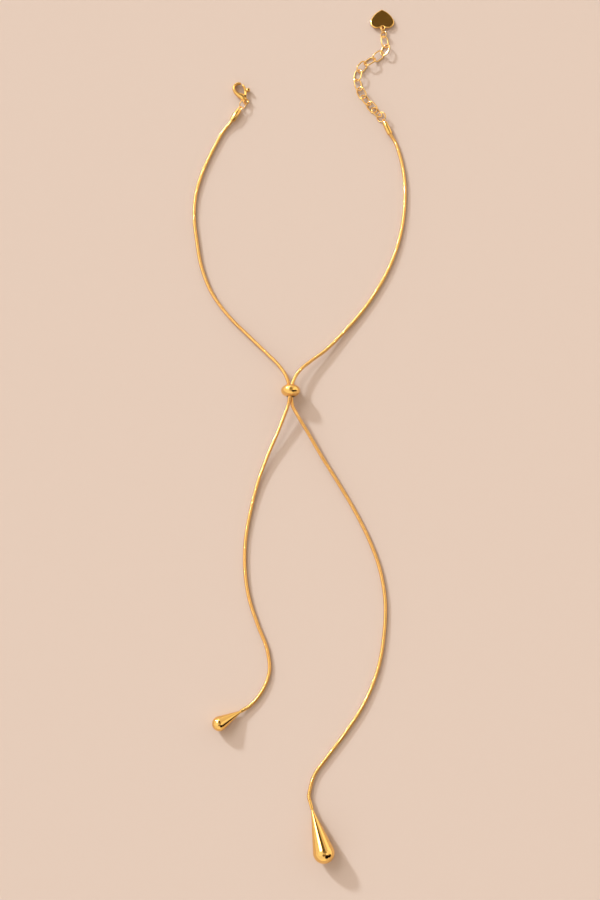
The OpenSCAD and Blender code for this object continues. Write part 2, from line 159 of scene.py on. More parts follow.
def ring_faces(rows, sides, closed=False):
    """Faces between rings of points. A closed form joins its last ring to its first."""
    faces = []
    for i in range(rows if closed else rows - 1):
        after = (i + 1) % rows
        for j in range(sides):
            k = (j + 1) % sides
            faces.append((i * sides + j, i * sides + k, after * sides + k, after * sides + j))
    return faces


def lathe(name, profile, sides, closed=False):
    """Form turned about Z, from points of radius and height in millimetres. A closed profile
    leaves a hole along the axis, and an open one has both of its ends filled."""
    points = []
    for radius, height in profile:
        for j in range(sides):
            turn = 2 * math.pi * j / sides
            points.append((radius * math.cos(turn), radius * math.sin(turn), height))
    count = len(profile)
    faces = ring_faces(count, sides, closed)
    if not closed:
        faces.append(tuple(range(sides)))
        faces.append(tuple((count - 1) * sides + j for j in range(sides)))
    return new_object(name, mesh_of(name, points, faces))


def torus(name, d, wire, sides=RING_SIDES, wire_sides=24):
    """Ring of outer diameter d that lies flat about the origin."""
    profile = []
    for j in range(wire_sides):
        turn = 2 * math.pi * j / wire_sides
        profile.append(((d - wire) / 2 + wire / 2 * math.cos(turn), wire / 2 * math.sin(turn)))
    return lathe(name, profile, sides, closed=True)


def aimed(piece, at, turn, rise):
    """Sets a piece at a point, with its +Z along a turn from +X and a rise from the surface."""
    matrix = Matrix.Translation(at * MM) @ Matrix.Rotation(math.radians(turn), 4, "Z")
    return move(piece, matrix @ Matrix.Rotation(math.radians(90 - rise), 4, "Y"))


def smooth_copy(node, name, angle):
    """Copy of a source's solid with its corners merged and its round faces shaded smooth."""
    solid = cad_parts[node].data
    points = [v.co / MM for v in solid.vertices]
    piece = new_object(name, mesh_of(name, points, [tuple(f.vertices) for f in solid.polygons]))
    crisp(piece, angle)
    return piece


def placed(piece, x, y, z=0.0, turn=None):
    """Moves a piece to a point in millimetres. A turn, given as a matrix, comes first."""
    matrix = Matrix.Translation((x * MM, y * MM, z * MM))
    return move(piece, matrix @ turn if turn else matrix)


def direction_of(turn, rise):
    """Direction from a turn from +X and a rise from the surface, both in radians."""
    flat = math.cos(rise)
    return Vector((flat * math.cos(turn), flat * math.sin(turn), math.sin(rise)))


def axis_of(turn, rise):
    """The same direction from angles in degrees."""
    return direction_of(math.radians(turn), math.radians(rise))


# Routes of the chains, as in the part's source: x, y and the lift as a share of the way up to
# the bead's axis, in millimetres

CHAIN_R = 0.75
BEAD_R = 4.1
BEAD_LEN = 5.1
BEAD_AT = (-4.0, 8.8)
# How far the two strands keep from the bead's axis, and where around it they are at its ends
PAIR_R = 0.85
PAIR_TURNS = (35, 112)
LEFT_TOP = [
    (-33.6, 127.8, 0), (-38.5, 118.5, 0), (-43, 108, 0), (-45.7, 98, 0), (-46.3, 87, 0),
    (-45.1, 77, 0), (-42.9, 65, 0), (-38.4, 53.3, 0), (-31.1, 42.9, 0.05), (-22.2, 33.7, 0.2),
    (-14.3, 25.7, 0.45), (-9.3, 20.4, 0.7), (-6.5, 16.3, 0.86),
]
RIGHT_TOP = [
    (41.7, 123, 0), (44.3, 115, 0), (46, 104, 0), (45.9, 93, 0), (44.3, 81.4, 0),
    (40.8, 69.2, 0), (35.2, 57.4, 0), (27.9, 46.1, 0.02), (18.7, 35.1, 0.12), (10.4, 26.6, 0.35),
    (4.3, 21.8, 0.6), (0.1, 18, 0.82), (-1.7, 15.4, 0.92),
]
LEFT_LOW = [
    (-5.1, 2.2, 1.03), (-6.8, -2.5, 0.87), (-9.7, -9.8, 0.62), (-13.9, -19.6, 0.33),
    (-17.8, -30.4, 0.12), (-20.7, -42, 0.02), (-22.8, -54, 0), (-23.1, -66, 0), (-21.5, -78.1, 0),
    (-17.6, -90.2, 0), (-13.5, -101, 0), (-12.7, -109.5, 0), (-15.4, -117.1, 0),
    (-19.4, -122.3, 0.04),
]
RIGHT_LOW = [
    (-3.2, 2.4, 0.78), (-1.4, -1.1, 0.71), (3, -8.6, 0.52), (9, -19, 0.28), (16.2, -30.7, 0.1),
    (22.9, -42.2, 0.01), (28.9, -54.5, 0), (33.2, -66.5, 0), (35.4, -80, 0), (34.9, -93.5, 0),
    (32, -109, 0), (26.3, -122.6, 0), (18.4, -134.6, 0), (10.7, -144.6, 0), (5.8, -151.4, 0),
    (4, -157, 0.03),
]
# Lift of a chain at its drop, and the straight run that it ends in
DROP_LIFT = 0.14
DROP_RUN = 1.2
LARGE_DROP = {"at": (3.9, -161.2), "turn": -74.5, "d": 8.8, "length": 21.9, "stem": 3.9}
SMALL_DROP = {"at": (-22.6, -124.7), "turn": 210, "d": 6.1, "length": 12.8, "stem": 2.3}
# End caps: how far the chain goes in and keeps from the end, and how the cap lies on the surface
CAP_D = 2.4
CAP_DEPTH = 4.0
CAP_GAP = 0.1
CAP_LIFT = 0.03
CAP_RISE = 1.5
LEFT_CAP = {"at": (-30, 132.4), "turn": 58.5, "loop_lean": 58}
RIGHT_CAP = {"at": (39.9, 125.9), "turn": 114, "loop_lean": -33}


def lifted(route):
    """Points of a route with their lift turned into a height."""
    return [Vector((x, y, CHAIN_R + share * (BEAD_R - CHAIN_R))) for x, y, share in route]


def bead_stretch(opposite):
    """Four points of a strand in the bead, where the two strands turn round each other."""
    points = []
    for share in (0.5, 0.17, -0.17, -0.5):
        turn = PAIR_TURNS[0] + (PAIR_TURNS[1] - PAIR_TURNS[0]) * (0.5 - share) + opposite
        turn = math.radians(turn)
        points.append(Vector((
            BEAD_AT[0] + PAIR_R * math.cos(turn),
            BEAD_AT[1] + share * BEAD_LEN,
            BEAD_R + PAIR_R * math.sin(turn),
        )))
    return points


def cap_mouth(cap):
    """Middle of the open end of a cap."""
    return Vector((*cap["at"], CAP_D / 2 + CAP_LIFT))


def cap_stretch(cap):
    """The chain's end in its cap, and a point just outside the cap's open end."""
    mouth = cap_mouth(cap)
    along = axis_of(cap["turn"], CAP_RISE)
    return [mouth + (CAP_DEPTH - CAP_GAP) * along, mouth - CAP_GAP * along]


DROP_Z = CHAIN_R + DROP_LIFT * (BEAD_R - CHAIN_R)


def drop_rise(drop):
    """Rise of a drop that rests on its round end, with its stem at the chain's height."""
    reach = drop["stem"] + drop["length"] - drop["d"] / 2
    return math.degrees(math.asin((drop["d"] / 2 - DROP_Z) / reach))


def drop_stretch(drop):
    """The chain's straight last run, up to its drop's collar."""
    end = Vector((*drop["at"], DROP_Z))
    return [end - DROP_RUN * axis_of(drop["turn"], drop_rise(drop)), end]


def heading(p, i):
    """Direction of the smooth curve through p at its point i."""
    if i == 0:
        return (p[1] - p[0]).normalized()
    if i == len(p) - 1:
        return (p[i] - p[i - 1]).normalized()
    before = p[i] - p[i - 1]
    after = p[i + 1] - p[i]
    a, b = before.length, after.length
    return (before * b / a + after * a / b) / (a + b)


def smooth_line(p, step):
    """Smooth curve through all the points of p, as in the part's source."""
    line = []
    for i in range(len(p) - 1):
        gap = (p[i + 1] - p[i]).length
        leave = heading(p, i) * gap
        arrive = heading(p, i + 1) * gap
        count = max(1, math.ceil(gap / step))
        for j in range(count):
            t = j / count
            line.append((2 * t**3 - 3 * t**2 + 1) * p[i] + (t**3 - 2 * t**2 + t) * leave
                        + (3 * t**2 - 2 * t**3) * p[i + 1] + (t**3 - t**2) * arrive)
    return line + [p[-1]]


def strand_line(cap, top, opposite, low, drop, step=0.4):
    """Middle line of one strand from its cap to its drop, nowhere below the surface."""
    path = cap_stretch(cap) + lifted(top) + bead_stretch(opposite)
    path += lifted(low) + drop_stretch(drop)
    return [Vector((p.x, p.y, max(p.z, CHAIN_R))) for p in smooth_line(path, step)]


# Sizes and colours that a user would change

class ChainSizes(bpy.types.PropertyGroup):
    pitch: FloatProperty(
        name="Link pitch", description="Length of chain that one woven link takes up",
        default=0.7 * MM, min=0.4 * MM, max=1.2 * MM, unit="LENGTH", precision=5)
    groove: FloatProperty(
        name="Groove", description="Depth of the groove between two links",
        default=0.05 * MM, min=0.02 * MM, max=0.2 * MM, unit="LENGTH", precision=5)
    wave: FloatProperty(
        name="Wave", description="How far a link's edge waves along the chain",
        default=0.11 * MM, min=0, max=0.2 * MM, unit="LENGTH", precision=5)
    sides: IntProperty(
        name="Sides", description="Sides of one link", default=12, min=8, max=24)


class FinishColours(bpy.types.PropertyGroup):
    gold: FloatVectorProperty(
        name="Gold", description="Colour of the polished gold plate",
        default=linear("#F6C877")[:3], subtype="COLOR", min=0, max=1)
    chain_gold: FloatVectorProperty(
        name="Chain gold", description="Colour of the snake chain",
        default=linear("#F0BE76")[:3], subtype="COLOR", min=0, max=1)
    wire_gold: FloatVectorProperty(
        name="Wire gold", description="Colour of the rings and links",
        default=linear("#F7CE88")[:3], subtype="COLOR", min=0, max=1)


class StudioSettings(bpy.types.PropertyGroup):
    floor: FloatVectorProperty(
        name="Floor", description="Colour of the pale floor",
        default=linear("#CAB6AC")[:3], subtype="COLOR", min=0, max=1)
    light_azimuth: FloatProperty(
        name="Light from", description="Direction that the main light comes from, from +X",
        default=math.radians(133), subtype="ANGLE")
    light_height: FloatProperty(
        name="Light height", description="Height of the main light above the horizon",
        default=math.radians(24.5), subtype="ANGLE")
    room: FloatProperty(
        name="Room light", description="Strength of the light that comes from all round",
        default=1.0, min=0, max=5)
    sun: FloatProperty(
        name="Main light", description="Strength of the main light", default=2.6, min=0, max=20)
    light_size: FloatProperty(
        name="Light size", description="Width of the main light as seen from the necklace",
        default=math.radians(5), subtype="ANGLE")


# Materials

# Spacing of the cloudy changes in polish, the noise that they run between, and the shares of
# the roughness that this gives
CLOUD_MM = 4
CLOUD_RANGE = (0.3, 0.7)
POLISH_RANGE = (0.75, 1.3)
# Depth of the fine marks at a bump of 1. Real ones are hair-fine, so these are drawn coarser, and
# show in a close view.
MARK_DEPTH_MM = 0.02
MARK_CONTRAST = 0.6
# Painted shade is browner as well as darker: its shares of red, green and blue
PAINTED_SHADE_TINT = (1.0, 0.85, 0.7)
# Number of each colour socket on a Mix node, whose other sockets have the same names
MIX_SHARE = 0
MIX_BELOW = 6
MIX_ABOVE = 7
MIX_RESULT = 2


def blend_colour(tree, share, below, above):
    """Colour socket that goes from one colour to the other. Either may be a socket."""
    mix = add_node(tree, "ShaderNodeMix", {
        MIX_SHARE: share, MIX_BELOW: below, MIX_ABOVE: above}, data_type="RGBA")
    return mix.outputs[MIX_RESULT]


def metal(name, colour, roughness, scratch_mm, bump, shade_share=None):
    """Metal whose polish varies a little, with fine marks scratch_mm apart on average. If a shade
    share is given, the colour goes down to that share where a piece's groove value is 1: painted
    shade."""
    material = bpy.data.materials.new(name)
    material.use_nodes = True
    tree = material.node_tree
    tree.nodes.clear()
    place = add_node(tree, "ShaderNodeTexCoord")
    cloud = add_node(tree, "ShaderNodeTexNoise", {
        "Vector": place.outputs["Object"], "Scale": 1 / (CLOUD_MM * MM), "Detail": 2.0})
    marks = add_node(tree, "ShaderNodeTexNoise", {
        "Vector": place.outputs["Object"], "Scale": 1 / (scratch_mm * MM), "Detail": 3.0,
        "Roughness": MARK_CONTRAST})
    polish = add_node(tree, "ShaderNodeMapRange", {
        "Value": cloud.outputs["Fac"], "From Min": CLOUD_RANGE[0], "From Max": CLOUD_RANGE[1],
        "To Min": roughness * POLISH_RANGE[0], "To Max": roughness * POLISH_RANGE[1]})
    relief = add_node(tree, "ShaderNodeBump", {
        "Height": marks.outputs["Fac"], "Strength": bump, "Distance": MARK_DEPTH_MM * MM})
    paint = [*colour, 1.0]
    if shade_share:
        # The groove value marks painted shade: the chain's grooves and the bead's bore.
        groove = add_node(tree, "ShaderNodeAttribute", attribute_name="groove")
        shade_paint = [c * shade_share * share for c, share in zip(colour, PAINTED_SHADE_TINT)]
        paint = blend_colour(tree, groove.outputs["Fac"], paint, [*shade_paint, 1.0])
    shade = add_node(tree, "ShaderNodeBsdfPrincipled", {
        "Base Color": paint, "Metallic": 1.0, "Roughness": polish.outputs["Result"],
        "Normal": relief.outputs["Normal"]})
    add_node(tree, "ShaderNodeOutputMaterial", {"Surface": shade.outputs["BSDF"]})
    return material


def finishes():
    """The necklace's metals, made once."""
    if "Polished gold plate" not in bpy.data.materials:
        colours = bpy.context.scene.necklace_colours
        # Cast and turned brass, tumbled bright and gold plated: a mirror that softens a little
        #         from place to place. The bead's bore is painted dark brown as shade inside the
        #         hole.
        metal("Polished gold plate", colours.gold,
              roughness=0.055, scratch_mm=0.25, bump=0.04, shade_share=0.12)
        # Brass wire drawn through a die, then plated: paler gold with a finer, softer gloss.
        metal("Drawn gold wire", colours.wire_gold,
              roughness=0.1, scratch_mm=0.2, bump=0.06)
        # Sheet brass, stamped, lapped flat and plated: one even mirror with a few faint marks.
        metal("Flat polished gold", colours.gold,
              roughness=0.09, scratch_mm=0.6, bump=0.04)
        # Brass strip rolled, woven into snake chain and plated: deeper gold on bright ribs,
        #         with painted shade darkening the grooves between links.
        metal("Gold plated snake chain", colours.chain_gold,
              roughness=0.11, scratch_mm=0.3, bump=0.06, shade_share=0.6)
    return bpy.data.materials


def show(piece, body, nodes, material=None):
    """Hangs a finished piece on its body in place of the nodes it stands for."""
    if material:
        piece.data.materials.clear()
        piece.data.materials.append(finishes()[material])
    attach(piece, body)
    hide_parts(*nodes)


# Snake chain

# A link's ends and the edges of its rib, as shares of the pitch from its middle. The ends go a
# little past half of it, so that no gap shows between links.
LINK_END = 0.52
RIB_EDGE = 0.38
# Inner radius of a link as a share of the chain's
LINK_BORE = 0.6


def link_mesh(sizes):
    """One woven link as a closed band: a rounded rib with waving edges. Its groove value, which
    paints shade between links, is 1 at the edges and 0 on the rib."""
    pitch, groove, wave = sizes.pitch / MM, sizes.groove / MM, sizes.wave / MM
    sides = sizes.sides
    rows = [
        (-LINK_END, CHAIN_R - groove, 1.0), (-RIB_EDGE, CHAIN_R, 0.0), (RIB_EDGE, CHAIN_R, 0.0),
        (LINK_END, CHAIN_R - groove, 1.0), (LINK_END, CHAIN_R * LINK_BORE, 1.0),
        (-LINK_END, CHAIN_R * LINK_BORE, 1.0),
    ]
    points = []
    for share, radius, _ in rows:
        for j in range(sides):
            turn = 2 * math.pi * j / sides
            points.append((
                radius * math.cos(turn), radius * math.sin(turn),
                share * pitch + wave * math.cos(2 * turn)))
    mesh = mesh_of("snake link", points, ring_faces(len(rows), sides, closed=True))
    values = mesh.attributes.new("groove", "FLOAT", "POINT")
    values.data.foreach_set("value", [row[2] for row in rows for _ in range(sides)])
    return mesh


def chain_tree():
    """Geometry nodes that set whole links along a strand's middle line. Their number is rounded
    to whole links, and each is stretched a little to fill the line."""
    tree = bpy.data.node_groups.new("Snake chain along a line", "GeometryNodeTree")
    face = tree.interface
    face.new_socket("Line", in_out="INPUT", socket_type="NodeSocketGeometry")
    face.new_socket("Link", in_out="INPUT", socket_type="NodeSocketObject")
    face.new_socket("Pitch", in_out="INPUT", socket_type="NodeSocketFloat")
    face.new_socket("Finish", in_out="INPUT", socket_type="NodeSocketMaterial")
    face.new_socket("Chain", in_out="OUTPUT", socket_type="NodeSocketGeometry")
    given = add_node(tree, "NodeGroupInput")
    length = add_node(tree, "GeometryNodeCurveLength", {"Curve": given.outputs["Line"]})
    share = add_node(tree, "ShaderNodeMath", {
        0: length.outputs["Length"], 1: given.outputs["Pitch"]}, operation="DIVIDE")
    count = add_node(tree, "ShaderNodeMath", {0: share.outputs[0]}, operation="ROUND")
    step = add_node(tree, "ShaderNodeMath", {
        0: length.outputs["Length"], 1: count.outputs[0]}, operation="DIVIDE")
    start = add_node(tree, "ShaderNodeMath", {0: step.outputs[0], 1: 0.5}, operation="MULTIPLY")
    end = add_node(tree, "ShaderNodeMath", {
        0: length.outputs["Length"], 1: start.outputs[0]}, operation="SUBTRACT")
    upright = add_node(tree, "GeometryNodeSetCurveNormal", {"Curve": given.outputs["Line"]})
    set_mode(upright, "Z_UP")
    trim = add_node(
        tree, "GeometryNodeTrimCurve", {"Curve": upright.outputs["Curve"]}, mode="LENGTH")
    for name, at in (("Start", start), ("End", end)):
        # The last socket of the name is the one that takes a length
        socket = [s for s in trim.inputs if s.name == name][-1]
        tree.links.new(at.outputs[0], socket)
    points = add_node(tree, "GeometryNodeCurveToPoints", {
        "Curve": trim.outputs["Curve"], "Count": count.outputs[0]}, mode="COUNT")
    link = add_node(tree, "GeometryNodeObjectInfo", {
        "Object": given.outputs["Link"], "As Instance": True})
    stretch = add_node(tree, "ShaderNodeMath", {
        0: step.outputs[0], 1: given.outputs["Pitch"]}, operation="DIVIDE")
    scale = add_node(tree, "ShaderNodeCombineXYZ", {"X": 1.0, "Y": 1.0, "Z": stretch.outputs[0]})
    links = add_node(tree, "GeometryNodeInstanceOnPoints", {
        "Points": points.outputs["Points"], "Instance": link.outputs["Geometry"],
        "Rotation": points.outputs["Rotation"], "Scale": scale.outputs["Vector"]})
    whole = add_node(tree, "GeometryNodeRealizeInstances", {"Geometry": links.outputs["Instances"]})
    finish = add_node(tree, "GeometryNodeSetMaterial", {
        "Geometry": whole.outputs["Geometry"], "Material": given.outputs["Finish"]})
    add_node(tree, "NodeGroupOutput", {"Chain": finish.outputs["Geometry"]})
    return tree


def set_mode(node, value):
    """Sets a node's mode, which is a menu socket in newer files and a setting in older ones."""
    if "Mode" in node.inputs:
        node.inputs["Mode"].default_value = value
    else:
        node.mode = value


def give_inputs(modifier, values):
    """Sets a geometry nodes modifier's inputs by their sockets' identifiers."""
    for item in modifier.node_group.interface.items_tree:
        if item.item_type == "SOCKET" and item.in_out == "INPUT" and item.name in values:
            modifier[item.identifier] = values[item.name]


def chain_piece(name, line, link, tree, sizes):
    """Strand of woven links along a middle line."""
    curve = bpy.data.curves.new(name + " line", "CURVE")
    curve.dimensions = "3D"
    curve.twist_mode = "Z_UP"
    spline = curve.splines.new("POLY")
    spline.points.add(len(line) - 1)
    for point, at in zip(spline.points, line):
        point.co = (*(at * MM), 1.0)
    piece = new_object(name + "_line", curve)
    modifier = piece.modifiers.new("Links", "NODES")
    modifier.node_group = tree
    give_inputs(modifier, {
        "Link": link, "Pitch": sizes.pitch, "Finish": finishes()["Gold plated snake chain"]})
    return applied(piece, name)


class NECKLACE_OT_chains(bpy.types.Operator):
    """Weaves the two snake chains along their routes"""
    bl_idname = "necklace.chains"
    bl_label = "Snake chains"

    def execute(self, context):
        sizes = context.scene.necklace_chain
        link = new_object("snake_link_pattern", link_mesh(sizes))
        tree = chain_tree()
        left = strand_line(LEFT_CAP, LEFT_TOP, 180, RIGHT_LOW, LARGE_DROP)
        right = strand_line(RIGHT_CAP, RIGHT_TOP, 0, LEFT_LOW, SMALL_DROP)
        pieces = [
            chain_piece("left_snake_chain", left, link, tree, sizes),
            chain_piece("right_snake_chain", right, link, tree, sizes),
        ]
        bpy.data.objects.remove(link)
        for piece, node in zip(pieces, ("left_strand", "right_strand")):
            if not piece.data.polygons:
                raise RuntimeError(f"{piece.name} came out empty")
            show(piece, "necklace", [node])
        return {"FINISHED"}


# Bead, drops and end caps, turned as in the part's source, in millimetres

# Free space between a chain and its cap's bore
CHAIN_GAP = 0.1
BEAD_BORE_R = 1.7
# Width of the flat ring at either end of the bead
BEAD_RIM = 0.15
STEM_R = 0.7
NECK_R = 0.5
NECK_LEN = 0.3
COLLAR_LEN = 0.5
COLLAR_GAP = 0.04
CAP_LEN = 5.9
CAP_EDGE = 0.2
CAP_LOOP_D = 2.2
CAP_LOOP_WIRE = 0.45
CAP_LOOP_SINK = 0.15
# Size of a corner's rounding, and the most of a short side that it takes up
SOFT_EDGE = 0.05
SOFT_SHARE = 0.4
# Faces of a drop that meet at more than this angle have a sharp edge between them
DROP_SHARP = 25
# Corners of a cap's profile that bend less are part of its rounded ends
CAP_SHARP = 60


def soft_corner(before, corner, after, size=SOFT_EDGE):
    """Three points that round off a corner of a profile."""
    before, corner, after = Vector(before), Vector(corner), Vector(after)
    start = corner + size * (before - corner).normalized()
    end = corner + size * (after - corner).normalized()
    return [start, (start + end + 2 * corner) / 4, end]


def softened(profile, sharp=20):
    """Profile with every corner sharper than the given angle rounded off, except at its ends."""
    line = [Vector(profile[0])]
    for i in range(1, len(profile) - 1):
        before, at, after = (Vector(p) for p in profile[i - 1:i + 2])
        bend = math.degrees((at - before).angle(after - at))
        room = min((at - before).length, (after - at).length)
        if bend > sharp:
            line += soft_corner(before, at, after, min(SOFT_EDGE, SOFT_SHARE * room))
        else:
            line.append(at)
    return line + [Vector(profile[-1])]


def bead_profile(steps=64):
    """Closed profile of the bead: its bore, the flat ring at either end and the round side."""
    end = math.acos((BEAD_BORE_R + BEAD_RIM) / BEAD_R)
    side = []
    for i in range(steps + 1):
        turn = end * (2 * i / steps - 1)
        side.append((BEAD_R * math.cos(turn), BEAD_LEN / 2 * math.sin(turn) / math.sin(end)))
    middle = [(BEAD_BORE_R, 0)]
    start = [(BEAD_BORE_R, -BEAD_LEN / 2)]
    finish = [(BEAD_BORE_R, BEAD_LEN / 2)]
    return softened(middle + start + side + finish + middle)[:-1]


def drop_profile(drop, steps=48):
    """Collar at the chain's end, stem, narrow neck, cone and the round end it runs into."""
    radius = drop["d"] / 2
    reach = drop["length"] - radius
    stem = drop["stem"]
    flare = math.asin(radius / math.hypot(NECK_R, reach)) - math.atan(NECK_R / reach)
    start = [
        (TIP_R, COLLAR_GAP), (CHAIN_R, COLLAR_GAP), (CHAIN_R, COLLAR_LEN), (STEM_R, COLLAR_LEN),
        (STEM_R, stem - NECK_LEN), (NECK_R, stem),
    ]
    bulb = []
    for i in range(steps):
        turn = (math.pi / 2 + flare) * i / steps - flare
        bulb.append((radius * math.cos(turn), stem + reach + radius * math.sin(turn)))
    return softened(start + bulb + [(TIP_R, stem + drop["length"])])


def paint_bore_shade(piece, radius):
    """Gives a turned piece the groove value 1 within a radius of its axis, in its bore, which
    paints shade there.
    """
    values = [float(math.hypot(v.co.x, v.co.y) < radius * MM) for v in piece.data.vertices]
    piece.data.attributes.new("groove", "FLOAT", "POINT").data.foreach_set("value", values)


def end_cap(name, cap):
    """Tube with rounded ends, open at the chain and closed by a loop at the other end."""
    radius = CAP_D / 2
    bore = CHAIN_R + CHAIN_GAP
    inner = radius - CAP_EDGE
    middle = radius - EDGE_MIDDLE * CAP_EDGE
    profile = [
        (TIP_R, CAP_DEPTH), (bore, CAP_DEPTH), (bore, 0), (inner, 0),
        (middle, EDGE_MIDDLE * CAP_EDGE), (radius, CAP_EDGE), (radius, CAP_LEN - CAP_EDGE),
        (middle, CAP_LEN - EDGE_MIDDLE * CAP_EDGE), (inner, CAP_LEN), (TIP_R, CAP_LEN),
    ]
    tube = lathe(name, softened(profile, CAP_SHARP), RING_SIDES)
    loop = torus("cap loop", CAP_LOOP_D, CAP_LOOP_WIRE)
    out = CAP_LEN + (CAP_LOOP_D - CAP_LOOP_WIRE) / 2 - CAP_LOOP_SINK
    lean = math.radians(cap["loop_lean"])
    lay = Matrix.Rotation(lean, 4, "Z") @ Matrix.Rotation(math.pi / 2, 4, "X")
    tube = cut(tube, placed(loop, 0, 0, out, lay), "UNION")
    crisp(tube)
    return aimed(tube, cap_mouth(cap), cap["turn"], CAP_RISE)


class NECKLACE_OT_bead_and_drops(bpy.types.Operator):
    """Turns and polishes the bead, the two drops and the end caps"""
    bl_idname = "necklace.bead_and_drops"
    bl_label = "Bead, drops and caps"

    def execute(self, context):
        bead = lathe("slider_bead_turned", bead_profile(), LARGE_SIDES, closed=True)
        crisp(bead)
        # The painted shade in the bore ends in the middle of the rounding at the bore's mouth
        paint_bore_shade(bead, BEAD_BORE_R + SOFT_EDGE / 2)
        placed(bead, *BEAD_AT, BEAD_R, Matrix.Rotation(-math.pi / 2, 4, "X"))
        show(bead, "necklace", ["slider_bead"], "Polished gold plate")
        for node, drop in (("large_drop", LARGE_DROP), ("small_drop", SMALL_DROP)):
            piece = lathe(node + "_turned", drop_profile(drop), LARGE_SIDES)
            crisp(piece, DROP_SHARP)
            aimed(piece, Vector((*drop["at"], DROP_Z)), drop["turn"], drop_rise(drop))
            show(piece, "necklace", [node], "Polished gold plate")
        for node, cap in (("left_end_cap", LEFT_CAP), ("right_end_cap", RIGHT_CAP)):
            piece = end_cap(node + "_turned", cap)
            show(piece, "necklace", [node], "Polished gold plate")
        return {"FINISHED"}


# Rings and links, whose solids have few sides, so only a corner sharper than this stays sharp

WIRE_SHARP = 60


class NECKLACE_OT_rings(bpy.types.Operator):
    """Smooths and polishes the rings and the extender's links"""
    bl_idname = "necklace.rings"
    bl_label = "Rings and links"

    def execute(self, context):
        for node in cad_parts:
            if node.startswith("link_") or node.endswith("_ring") or node.startswith("tag_ring"):
                piece = smooth_copy(node, node + "_wire", WIRE_SHARP)
                show(piece, "necklace", [node], "Drawn gold wire")
        return {"FINISHED"}


# Clasp, drawn as in the part's source: flat, with the middle of its round opening at the origin
# and its tail along -Y, in millimetres

CLASP_TURN = math.radians(30)
CLASP_LEN = 11.3
EYE_R = 1.65
HOOK_W = 1.25
CLASP_T = 2.6
TAIL_EYE_D = 2.7
TAIL_EYE_WIRE = 0.55
LEVER_T = 1.0
LEVER_GAP = 0.08
RIVET_D = 0.6
RIVET_GAP = 0.02
TAB_D = 1.7
TAB_HEIGHT = 1.4
TAB_EDGE = 0.25
TAB_NECK_R = 0.3 * TAB_D
BOSS_EDGE = 0.08
POCKET_SIDES = 64
TAB_NECK_SIDES = 32
# Radius and height of the rivet's pin and its two low round heads
RIVET_PROFILE = [
    (TIP_R, -1.2), (0.62, -1.2), (0.69, -1.17), (0.72, -1.1), (0.72, -0.97), (0.3, -0.95),
    (0.3, 0.95), (0.72, 0.97), (0.72, 1.1), (0.69, 1.17), (0.62, 1.2), (TIP_R, 1.2),
]
# Radius of the hook's outside, the way from the opening to the tail's eye, and places on them
HOOK_R = EYE_R + HOOK_W / 2
TAIL_REACH = CLASP_LEN - EYE_R - HOOK_W - TAIL_EYE_D / 2
TAIL_X = -0.145 * HOOK_R
PIVOT = (0.145 * HOOK_R, -0.7 * TAIL_REACH)
BOSS_R = 0.31 * HOOK_R
TAB_AT = (1.4 * HOOK_R, -0.39 * TAIL_REACH)
TAB_ROOT = (0.85 * HOOK_R, -0.33 * TAIL_REACH)
# Hook: turn round the opening, half width and half thickness as shares of HOOK_W and CLASP_T
HOOK_TABLE = [
    (35, 0.2, 0.2), (40, 0.33, 0.3), (56, 0.44, 0.39), (80, 0.5, 0.42), (105, 0.51, 0.44),
    (130, 0.53, 0.45), (155, 0.56, 0.46), (182, 0.6, 0.47),
]
# Body and lever: x and half width as shares of HOOK_R, the way down as a share of TAIL_REACH,
# and half thickness as a share of CLASP_T, in the order x, way down, half width, half thickness
BODY_TABLE = [
    (-0.93, 0.23, 0.35, 0.48), (-0.67, 0.4, 0.48, 0.5), (-0.33, 0.56, 0.6, 0.5),
    (-0.2, 0.7, 0.64, 0.48), (-0.15, 0.83, 0.46, 0.38), (-0.145, 0.91, 0.24, 0.24),
]
LEVER_TABLE = [
    (0.9, -0.125, 0.11, 0.12), (0.94, -0.085, 0.19, 0.2), (1, 0, 0.23, 0.25),
    (0.97, 0.17, 0.25, 0.24), (0.83, 0.34, 0.25, 0.18), (0.58, 0.51, 0.24, 0.18),
    (0.3, 0.645, 0.22, 0.18),
]


def along_tail(table):
    """Rows of the body or the lever in millimetres."""
    return [Vector((x * HOOK_R, -y * TAIL_REACH, w * HOOK_R, t * CLASP_T)) for x, y, w, t in table]


def hook_rows():
    """Rows of the hook in millimetres, from its tip round to the body."""
    rows = []
    for turn, width, thick in HOOK_TABLE:
        turn = math.radians(turn)
        rows.append(Vector((
            HOOK_R * math.cos(turn), HOOK_R * math.sin(turn), width * HOOK_W, thick * CLASP_T)))
    return rows


def loft(name, rows, step=0.15, sides=40):
    """Flat-lying smooth form through rows of x, y, half width and half thickness."""
    line = smooth_line(rows, step)
    middles = [Vector((row[0], row[1], 0)) for row in line]
    points = []
    for i, row in enumerate(line):
        side = Vector((0, 0, 1)).cross(heading(middles, i)).normalized()
        for j in range(sides):
            turn = 2 * math.pi * j / sides
            points.append(middles[i] + row[2] * math.cos(turn) * side
                          + Vector((0, 0, row[3] * math.sin(turn))))
    faces = ring_faces(len(line), sides)
    faces.append(tuple(range(sides)))
    faces.append(tuple((len(line) - 1) * sides + j for j in range(sides)))
    return new_object(name, mesh_of(name, points, faces))


def drum(name, radius, height, edge):
    """Short cylinder about Z with softened edges."""
    half = height / 2
    part = EDGE_MIDDLE * edge
    return lathe(name, [
        (radius - edge, -half), (radius - part, -half + part), (radius, -half + edge),
        (radius, half - edge), (radius - part, half - part), (radius - edge, half),
    ], SMALL_SIDES)


def rod(name, radius, half, sides=SMALL_SIDES):
    """Plain cylinder about Z, used to cut a round hole."""
    return lathe(name, [(radius, -half), (radius, half)], sides)


